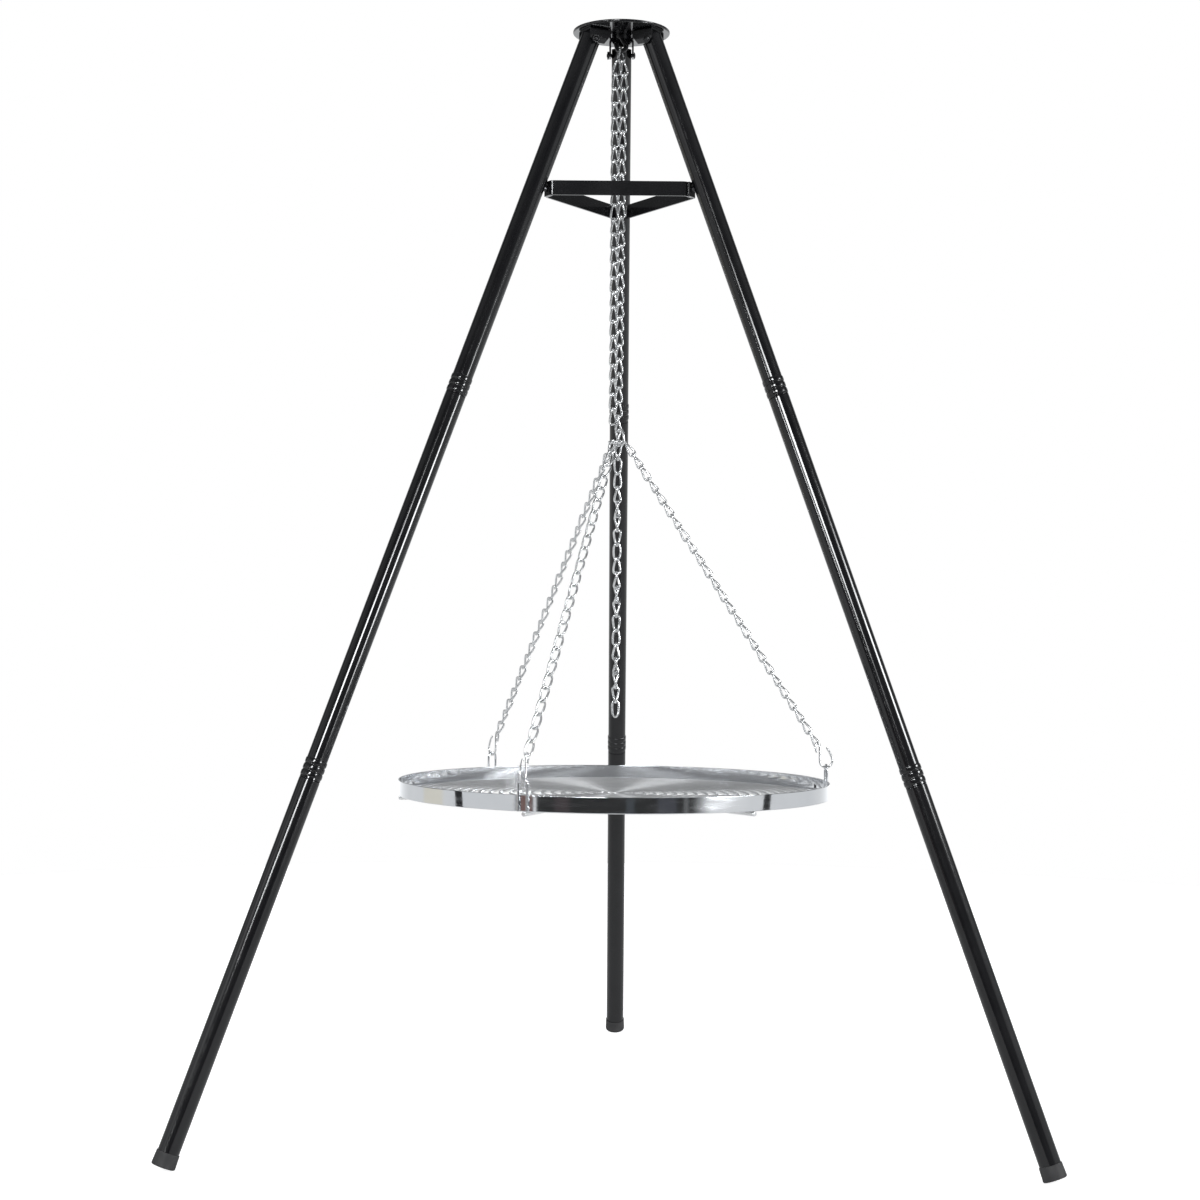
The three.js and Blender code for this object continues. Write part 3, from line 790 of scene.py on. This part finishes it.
def add_spreader_bolt(side, degrees):
    """The bolt through two tabs, its head toward the axis, and the insert in the leg that it ends in."""
    outward = Matrix.Rotation(math.pi / 2, 4, "Y")
    place = azimuth(degrees) @ Matrix.Translation((0, 0, SPREADER_Z)) @ outward
    under_head = INNER_TAB - BAR_THICKNESS / 2 - GAP
    insert_low = OUTER_TAB + BAR_THICKNESS / 2 + GAP
    insert_high = insert_low + INSERT_LENGTH
    flip = Matrix.Scale(-1, 4, (0, 0, 1))
    domed = bolt_shape(-under_head, SPREADER_BOLT_HEAD_R, SPREADER_BOLT_HEAD_HEIGHT, -(insert_high + 1))
    bolt = piece(f"{side}_spreader_bolt_head", domed, place @ flip, BLACK_STEEL, 30)
    install(bolt, f"spreader_bolt_{side}", "frame")
    bore = BOLT_R + GAP
    wall = [(bore, insert_low), (INSERT_R, insert_low), (INSERT_R, insert_high), (bore, insert_high)]
    sleeve_shape = Shape().add(*turned(rounded(wall, 0.3, 2), 32, ring=True))
    sleeve = piece(f"{side}_threaded_insert", sleeve_shape, place, BOLT_ZINC)
    install(sleeve, f"spreader_insert_{side}", "frame")


# ---- Chains ----

LINK_WIRE_R = 1.5
LINK_HALF_WIDTH = 4.7  # to the wire's middle
LINK_TWIST = 90.0  # degrees from one end of a link to the other
LINK_STEPS = 32
SWAY_STEP = 2.4  # radians of the sway's wave from link to link
TAIL_SPIN = 32.0  # degrees from link to link, in the long strand's lower part
TAIL_LINKS = 22
CHAIN_PITCH = 20.0
TOP_LINK_HALF = 10.0  # half the top link's length
TOP_LINK_HALF_WIDTH = 4.9
TOP_LINK_TWIST = 84


def link_path(pitch, half_width, twist, turn):
    """The closed middle line of one twisted link, along Z."""
    half_length = (pitch + 2 * LINK_WIRE_R) / 2
    straight = half_length - half_width
    bend = math.pi * half_width
    path = []
    for i in range(LINK_STEPS):
        s = (4 * straight + 2 * bend) * i / LINK_STEPS
        if s < 2 * straight:
            x, z = half_width, -straight + s
        elif s < 2 * straight + bend:
            angle = (s - 2 * straight) / half_width
            x, z = half_width * math.cos(angle), straight + half_width * math.sin(angle)
        elif s < 4 * straight + bend:
            x, z = -half_width, straight - (s - 2 * straight - bend)
        else:
            angle = math.pi + (s - 4 * straight - bend) / half_width
            x, z = half_width * math.cos(angle), -straight + half_width * math.sin(angle)
        angle = math.radians(turn + twist * z / (2 * half_length))
        path.append((x * math.cos(angle), x * math.sin(angle), z))
    return path


def strand_shape(line, first_turn, sway=0.0, tail_links=0):
    """Links along a line of points, which sway a little about their first turn, in degrees.

    The last ones, the tail's, turn round little by little.
    """
    line = [Vector(p) for p in line]
    reaches = [(b - a).length for a, b in zip(line, line[1:])]
    length = sum(reaches)

    def at(distance):
        for a, b, reach in zip(line, line[1:], reaches):
            if distance <= reach or b is line[-1]:
                return a.lerp(b, distance / reach)
            distance -= reach

    count = round((length - 2 * LINK_WIRE_R) / CHAIN_PITCH)
    pitch = (length - 2 * LINK_WIRE_R) / count
    shape = Shape()
    for k in range(count):
        top = at(LINK_WIRE_R + k * pitch)
        low = at(LINK_WIRE_R + (k + 1) * pitch)
        upright = Vector((0, 0, -1)).rotation_difference(low - top).to_matrix().to_4x4()
        turn = first_turn + sway * math.sin(SWAY_STEP * k) + TAIL_SPIN * max(0, k - (count - tail_links))
        points, faces = swept(link_path(pitch, LINK_HALF_WIDTH, LINK_TWIST, turn), LINK_WIRE_R, 10, loop=True)
        shape.add(points, faces, Matrix.Translation((top + low) / 2) @ upright)
    return shape


def add_main_chain():
    hang_z = HOOK_LOW_Z + HOOK_WIRE_R + 3 * GAP + LINK_WIRE_R
    pitch = TOP_LINK_HALF * 2 - 2 * LINK_WIRE_R
    path = link_path(pitch, TOP_LINK_HALF_WIDTH, TOP_LINK_TWIST, 90 - TOP_LINK_TWIST / 2)
    wire = Shape().add(*swept(path, LINK_WIRE_R, 10, loop=True))
    top = piece("top_link_wire", wire, Matrix.Translation((0, 0, hang_z - TOP_LINK_HALF)), CHAIN_ZINC, 180)
    install(top, "chain_top_link", "top_link")

    start_z = hang_z - 2 * TOP_LINK_HALF + 2 * LINK_WIRE_R
    short_low = (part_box("chain_short_strand")[0].z - BASE_Z) / MM + LINK_WIRE_R
    long_low = (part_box("chain_long_strand")[0].z - BASE_Z) / MM + LINK_WIRE_R
    short_line = [
        (-3, 0, start_z),
        (-7.6, -1, start_z - 22),
        (-7.8, -2, start_z - 70),
        (-7.6, -3, start_z - 125),
        (-7, -3, 1150),
        (-6.6, -3, short_low),
    ]
    long_line = [
        (3, 0, start_z),
        (4.4, 1.4, start_z - 22),
        (3.6, 2.2, start_z - 70),
        (2.4, 3, start_z - 125),
        (2, 3, 1150),
        (1, 0.3, GATHER_Z + 24),
        (1, 0.3, long_low),
    ]
    short = piece("short_strand_links", strand_shape(short_line, 34, sway=10), Matrix(), CHAIN_ZINC, 180)
    long_links = strand_shape(long_line, 38, tail_links=TAIL_LINKS)
    long = piece("long_strand_links", long_links, Matrix(), CHAIN_ZINC, 180)
    install(short, "chain_short_strand", "main_chain")
    install(long, "chain_long_strand", "main_chain")


# ---- Gather ----

RING_R = 11.0
RING_WIRE_R = 2.0
GATHER_HOOK_WIRE_R = 1.6
GATHER_HOOK_TIP_R = 7.6
GATHER_HOOK_DEG = FIRST_HANGER_DEG - 60


def add_gather():
    ring = Shape().add(*swept(circle_path(RING_R, 64), RING_WIRE_R, 14, loop=True))
    install(piece("gather_ring_wire", ring, Matrix.Translation((0, 0, GATHER_Z)), CHAIN_ZINC, 180),
            "gather_ring", "gather_ring")
    bend = RING_WIRE_R + GAP + GATHER_HOOK_WIRE_R
    path = smooth_path([
        (RING_R - bend, 0, 3),
        (RING_R - bend, 0, 0),
        (RING_R - bend * 0.7, 0, -bend * 0.7),
        (RING_R, 0, -bend),
        (RING_R + bend * 0.7, 0, -bend * 0.7),
        (RING_R + bend, 0, 0),
        (RING_R + bend, 0, 6),
        (RING_R + bend * 0.4, 0, 13),
        (RING_R - 0.6, 0, 17),
        (GATHER_HOOK_TIP_R + 0.8, 0, 17.5),
        (GATHER_HOOK_TIP_R, 0, 15),
    ], 5)
    place = Matrix.Translation((0, 0, GATHER_Z)) @ azimuth(GATHER_HOOK_DEG)
    hook = piece("gather_hook_wire", Shape().add(*swept(path, GATHER_HOOK_WIRE_R, 14)), place, CHAIN_ZINC, 50)
    install(hook, "gather_hook", "gather_hook")


# ---- Hangers ----

HANGER_R = GRATE_R + GAP + 1.7
BRACKET_WIRE_R = 1.6
BRACKET_HALF = 6.2
BRACKET_REACH = 21.0  # above the rim
BRACKET_TOP_Z = RIM_TOP_Z + BRACKET_REACH
S_WIRE_R = 1.5
S_BEND_R = 9.0
S_HOOK_LOW_Z = BRACKET_TOP_Z - BRACKET_WIRE_R - GAP - S_WIRE_R
RIM_LOW_Z = RIM_TOP_Z - RIM_HEIGHT
RIM_BEAD_ASIDE = 1.5  # from the loop wire's middle
RIM_BEAD_DEPTH = 1.1
RIM_BEAD_INSET = 4.5  # from the rim's edges to a bead's middle


def weld_bead(length, width, height, seed):
    """A small uneven ridge of weld along Z, thin at its ends, with ripples that start as the seed says."""
    steps = 12
    sides = 8
    points = []
    for i in range(steps + 1):
        t = i / steps
        swell = math.sin(math.pi * min(max(t, 0.02), 0.98)) ** 0.5
        ripple = 1 + 0.12 * math.sin(9 * t * math.pi + seed)
        for k in range(sides):
            angle = math.pi * 2 * k / sides
            points.append((
                height * swell * ripple * math.cos(angle),
                width * swell * ripple * math.sin(angle),
                (t - 0.5) * length,
            ))
    faces = []
    for i in range(steps):
        for k in range(sides):
            m = (k + 1) % sides
            faces.append((i * sides + k, i * sides + m, (i + 1) * sides + m, (i + 1) * sides + k))
    faces.append(tuple(range(sides))[::-1])
    last = steps * sides
    faces.append(tuple(last + k for k in range(sides)))
    return points, faces


def add_hanger(side, degrees):
    turn = azimuth(degrees)
    add_rim_loop(side, turn)
    add_s_hook(side, turn)
    start = Vector((RING_R - 0.5, 0, GATHER_Z + 1.2))
    end = Vector((HANGER_R - 12.6, 0, S_HOOK_LOW_Z + 31.2))
    links = strand_shape([start, end], 40 + degrees, sway=10)
    chain = piece(f"{side}_hanger_links", links, turn, CHAIN_ZINC, 180)
    install(chain, f"hanger_chain_{side}", "hanging_grate")


def add_rim_loop(side, turn):
    """An upturned U of wire on the rim's outer face, with a weld bead on each side of each leg."""
    shoulder = BRACKET_TOP_Z - BRACKET_HALF
    rise = shoulder - RIM_LOW_Z
    path = [(HANGER_R, -BRACKET_HALF, RIM_LOW_Z + rise * i / 8) for i in range(8)]
    path += [(HANGER_R, -y, z) for y, z in arc((0, shoulder), BRACKET_HALF, 0, 180, 16)]
    path += [(HANGER_R, BRACKET_HALF, shoulder - rise * i / 8) for i in range(1, 9)]
    loop = Shape().add(*swept(path, BRACKET_WIRE_R, 14))
    for y in (-BRACKET_HALF, BRACKET_HALF):
        for z in (RIM_LOW_Z + RIM_BEAD_INSET, RIM_TOP_Z - RIM_BEAD_INSET):
            for aside in (-1, 1):
                place = Matrix.Translation((HANGER_R - RIM_BEAD_DEPTH, y + aside * RIM_BEAD_ASIDE, z))
                loop.add(*weld_bead(7, 1.0, 0.9, y + z + aside), place)
    install(piece(f"{side}_rim_loop", loop, turn, CHROME, 50), f"rim_bracket_{side}", "hanging_grate")


def add_s_hook(side, turn):
    """An S of wire: a small closed eye for the chain above, a wide open bend in the rim's loop below."""
    low = S_HOOK_LOW_Z
    bend_z = low + S_BEND_R
    path = smooth_path([
        (HANGER_R - 13.5, 0, low + 21),
        (HANGER_R - 16.2, 0, low + 29),
        (HANGER_R - 14.4, 0, low + 34),
        (HANGER_R - 11, 0, low + 34),
        (HANGER_R - 9.4, 0, low + 29),
        (HANGER_R - S_BEND_R, 0, bend_z),
        (HANGER_R - S_BEND_R * 0.7, 0, bend_z - S_BEND_R * 0.7),
        (HANGER_R, 0, low),
        (HANGER_R + S_BEND_R * 0.7, 0, bend_z - S_BEND_R * 0.7),
        (HANGER_R + S_BEND_R, 0, bend_z + 1),
        (HANGER_R + 5, 0, low + 21),
        (HANGER_R + 0.5, 0, low + 28),
    ])
    hook = piece(f"{side}_s_hook_wire", Shape().add(*swept(path, S_WIRE_R, 14)), turn, CHAIN_ZINC, 50)
    install(hook, f"s_hook_{side}", "hanging_grate")


# ---- Grate ----

RIM_THICKNESS = 2.0
BAR_R = 2.5
ROD_R = 3.2
ROD_COUNT = 3
ROD_STEP_DEG = 60
RING_COUNT = 20
RING_PITCH = 14.4
FIRST_RING_R = 14.4
WELD_BITE = 0.6  # how far a ring sinks into the rod
GRID_BEAD_ASIDE = 2.6


def add_rim():
    inner = GRATE_R - RIM_THICKNESS
    section = [(inner, RIM_LOW_Z), (GRATE_R, RIM_LOW_Z), (GRATE_R, RIM_TOP_Z), (inner, RIM_TOP_Z)]
    band = Shape().add(*turned(rounded(section, 0.8, 4), 360, ring=True))
    rim = piece("rim_band", band, Matrix(), CHROME, 50)
    install(rim, "grate_rim", "hanging_grate")


def add_grid():
    """Three rods under the rim, the rings welded on them, and a weld bead on each side of each crossing."""
    rod_z = RIM_LOW_Z - GAP - ROD_R
    ring_z = rod_z + ROD_R * math.cos(math.pi / 6) + BAR_R - WELD_BITE
    ring_radii = [FIRST_RING_R + i * RING_PITCH for i in range(RING_COUNT)]
    grid = Shape()
    half = GRATE_R - 1
    rod = [(x, 0, 0) for x in (-half, -half + 2, 0, half - 2, half)]
    for i in range(ROD_COUNT):
        place = Matrix.Translation((0, 0, rod_z)) @ azimuth(FIRST_HANGER_DEG + ROD_STEP_DEG * i)
        grid.add(*swept(rod, ROD_R, 20), place)
    for radius in ring_radii:
        steps = int(48 + radius / 2)
        grid.add(*swept(circle_path(radius, steps), BAR_R, 12, loop=True), Matrix.Translation((0, 0, ring_z)))
    lying = Matrix.Rotation(math.pi / 2, 4, "Y")
    for i in range(2 * ROD_COUNT):
        turn = azimuth(FIRST_HANGER_DEG + ROD_STEP_DEG * i)
        for k, radius in enumerate(ring_radii):
            for aside in (-GRID_BEAD_ASIDE, GRID_BEAD_ASIDE):
                place = turn @ Matrix.Translation((radius, aside, ring_z - BAR_R + 0.5)) @ lying
                grid.add(*weld_bead(4.2, 1.0, 1.0, i + k), place)
    rings = piece("cooking_rings", grid, Matrix(), GRID_CHROME, 50)
    install(rings, "grate_grid", "hanging_grate")


# ---- Floor and light ----

FLOOR_R = 3.0
FLOOR_STEPS = 96
FLOOR_GLOW = 0.15
FLOOR_GLOW_IN_SIGHT = 0.65  # more, as the camera sees it


def add_floor():
    """A pale disc that glows a little, so that it looks as white as the room."""
    mesh = bpy.data.meshes.new("floor")
    mesh.from_pydata(circle_path(FLOOR_R, FLOOR_STEPS), [], [tuple(range(FLOOR_STEPS))])
    floor = bpy.data.objects.new("floor", mesh)
    bpy.context.scene.collection.objects.link(floor)
    material, shader = new_material("floor", (0.86, 0.86, 0.86), 0.0, 0.9)
    shader.inputs["Specular IOR Level"].default_value = 0.0
    shader.inputs["Emission Color"].default_value = (1, 1, 1, 1)
    sight = material.node_tree.nodes.new("ShaderNodeLightPath")
    glow = material.node_tree.nodes.new("ShaderNodeMath")
    glow.operation = "MULTIPLY_ADD"
    glow.inputs[1].default_value = FLOOR_GLOW_IN_SIGHT
    glow.inputs[2].default_value = FLOOR_GLOW
    material.node_tree.links.new(sight.outputs["Is Camera Ray"], glow.inputs[0])
    material.node_tree.links.new(glow.outputs[0], shader.inputs["Emission Strength"])
    vary(material, shader, "Roughness", noise(material, 3), 0.85, 0.95)
    mesh.materials.append(material)


class Studio:
    """The light all round, as sums and products of smooth steps over azimuth and elevation in degrees.

    Azimuth 0 is toward the front, 90 to the right. The camera itself sees plain white.
    """

    def __init__(self):
        world = bpy.data.worlds.new("studio")
        bpy.context.scene.world = world
        world.use_nodes = True
        self.nodes = world.node_tree.nodes
        self.links = world.node_tree.links
        self.nodes.clear()
        toward = self.nodes.new("ShaderNodeTexCoord")
        parts = self.nodes.new("ShaderNodeSeparateXYZ")
        self.links.new(toward.outputs["Generated"], parts.inputs[0])
        front = self.math("MULTIPLY", parts.outputs["Y"], -1)
        degrees = 180 / math.pi
        self.azimuth = self.math("MULTIPLY", self.math("ARCTAN2", parts.outputs["X"], front), degrees)
        self.to_either_side = self.math("ABSOLUTE", self.azimuth)
        self.elevation = self.math("MULTIPLY", self.math("ARCSINE", parts.outputs["Z"]), degrees)

    def math(self, operation, first, second=None):
        node = self.nodes.new("ShaderNodeMath")
        node.operation = operation
        for socket, value in zip(node.inputs, (first, second)):
            if value is None:
                continue
            if isinstance(value, (int, float)):
                socket.default_value = value
            else:
                self.links.new(value, socket)
        return node.outputs[0]

    def step(self, value, start, end, low=0.0, high=1.0):
        node = self.nodes.new("ShaderNodeMapRange")
        node.interpolation_type = "SMOOTHSTEP"
        node.inputs["From Min"].default_value = start
        node.inputs["From Max"].default_value = end
        node.inputs["To Min"].default_value = low
        node.inputs["To Max"].default_value = high
        self.links.new(value, node.inputs["Value"])
        return node.outputs["Result"]

    def window(self, value, middle, half, soft):
        """One near the middle value, nought away from it."""
        away = self.math("ABSOLUTE", self.math("SUBTRACT", value, middle))
        return self.step(away, half - soft / 2, half + soft / 2, 1.0, 0.0)

    def softbox(self, azimuth, elevation, half_width, half_height, soft, strength):
        across = self.window(self.azimuth, azimuth, half_width, soft)
        upright = self.window(self.elevation, elevation, half_height, soft)
        return self.math("MULTIPLY", self.math("MULTIPLY", across, upright), strength)

    def glow(self, color, strength):
        """A background of one colour; its strength is a number or a socket."""
        node = self.nodes.new("ShaderNodeBackground")
        node.inputs["Color"].default_value = (*color, 1)
        if isinstance(strength, (int, float)):
            node.inputs["Strength"].default_value = strength
        else:
            self.links.new(strength, node.inputs["Strength"])
        return node.outputs[0]

    def finish(self, glows):
        """Adds the glows up and makes them the world, with plain white where the camera looks at it."""
        total = glows[0]
        for glow in glows[1:]:
            both = self.nodes.new("ShaderNodeAddShader")
            self.links.new(total, both.inputs[0])
            self.links.new(glow, both.inputs[1])
            total = both.outputs[0]
        ray = self.nodes.new("ShaderNodeLightPath")
        choose = self.nodes.new("ShaderNodeMixShader")
        self.links.new(ray.outputs["Is Camera Ray"], choose.inputs["Fac"])
        self.links.new(total, choose.inputs[1])
        self.links.new(self.glow((1, 1, 1), 1.0), choose.inputs[2])
        output = self.nodes.new("ShaderNodeOutputWorld")
        self.links.new(choose.outputs[0], output.inputs["Surface"])


# Softboxes and small lamps: azimuth, elevation, half width, half height, soft edge, strength.
SOFTBOXES = (
    (-10.8, 21.4, 6.5, 3.0, 5, 45),
    (-20.2, 18.4, 4.5, 1.3, 1.6, 29),
    (57, 1.3, 7, 3.1, 3, 34),
    (74, 28.2, 10, 2.9, 3.5, 29),
    (-36, 11.1, 8, 0.5, 0.6, 50),
    (-52, 20, 14, 5, 6, 0.8),
    (78, 70, 34, 7, 4, 1.6),
    (-78, 70, 34, 7, 4, 1.6),
    (-40.5, -5, 0.8, 4, 1, 0.9),
    (38, -5, 1.2, 6, 1, 0.12),
)
# Coloured things in the room: azimuth to strength as above, and their colour.
COLOURED_THINGS = (
    ((-46, -5, 4, 5, 1.5, 0.16), (1.0, 0.55, 0.48)),
    ((-26, -5, 4, 5, 3, 0.03), (1.0, 0.7, 0.75)),
    ((9, -5, 2, 5, 1.5, 0.05), (0.7, 0.85, 1.0)),
    ((28, -5, 5, 5, 3, 0.05), (0.75, 0.8, 1.0)),
)
BEIGE_WALL = (-109, -4, 9, 7, 3, 0.42)
BEIGE = (1.0, 0.93, 0.72)
DAYLIGHT = (0.965, 0.985, 1.0)

# Smooth steps: the degrees where one starts and ends, and the values before and after it.
WALL_BRIGHTNESS = (-3, 3, 0.76, 0.66)  # by elevation: a little duller above the horizon
WALL_FADE = (16, 34, 1.0, 0.40)  # by elevation: duller above head height
BEHIND = (135, 170, 0.0, 1.0)  # by azimuth to either side
BEHIND_GAIN = (-2, 6, 0.7, -0.5)  # by elevation: brighter low down, duller above
DULL_STRETCH = (121, 16, 8)  # azimuth to either side, half width, soft edge
DULL_DEPTH = (5, 9, 0, 0.8)  # by elevation
DARK_END_LOW = (-2, 14, 0.05, 0.26)  # by elevation: what is left of the wall's light
DARK_END_HIGH = (30, 50, 0.0, 0.74)  # by elevation: added to it
DARK_END_LEFT = (-53, -49, 0, 1)  # by azimuth
DARK_END_RIGHT = (40, 54, 1, 0)  # by azimuth


def wall_light(studio):
    """The room's walls: brighter low down and behind the object."""
    wall = studio.step(studio.elevation, *WALL_BRIGHTNESS)
    wall = studio.math("MULTIPLY", wall, studio.step(studio.elevation, *WALL_FADE))
    behind = studio.step(studio.to_either_side, *BEHIND)
    gain = studio.math("MULTIPLY", behind, studio.step(studio.elevation, *BEHIND_GAIN))
    return studio.math("MULTIPLY", wall, studio.math("ADD", 1, gain))


def dark_end_shade(studio):
    """What the dark end of the room, round the camera, leaves of the light."""
    dark = studio.step(studio.elevation, *DARK_END_LOW)
    dark = studio.math("ADD", dark, studio.step(studio.elevation, *DARK_END_HIGH))
    left_edge = studio.step(studio.azimuth, *DARK_END_LEFT)
    right_edge = studio.step(studio.azimuth, *DARK_END_RIGHT)
    opening = studio.math("MULTIPLY", left_edge, right_edge)
    return studio.math("SUBTRACT", 1, studio.math("MULTIPLY", opening, studio.math("SUBTRACT", 1, dark)))


def add_world():
    studio = Studio()
    beige = studio.softbox(*BEIGE_WALL)
    wall = studio.math("SUBTRACT", wall_light(studio), beige)
    dull = studio.window(studio.to_either_side, *DULL_STRETCH)
    dull = studio.math("MULTIPLY", dull, studio.step(studio.elevation, *DULL_DEPTH))
    wall = studio.math("MULTIPLY", wall, studio.math("SUBTRACT", 1, dull))
    light = studio.math("MULTIPLY", wall, dark_end_shade(studio))
    for softbox in SOFTBOXES:
        light = studio.math("ADD", light, studio.softbox(*softbox))
    glows = [studio.glow(DAYLIGHT, light), studio.glow(BEIGE, beige)]
    glows += [studio.glow(color, studio.softbox(*thing)) for thing, color in COLOURED_THINGS]
    studio.finish(glows)


add_hub()
for leg_side, leg_degrees in LEG_AZIMUTHS.items():
    add_leg(leg_side, leg_degrees)
add_spreader()
add_main_chain()
add_gather()
for hanger_side, hanger_degrees in HANGER_AZIMUTHS.items():
    add_hanger(hanger_side, hanger_degrees)
add_rim()
add_grid()
add_floor()
add_world()

bpy.context.scene.view_settings.view_transform = "Standard"
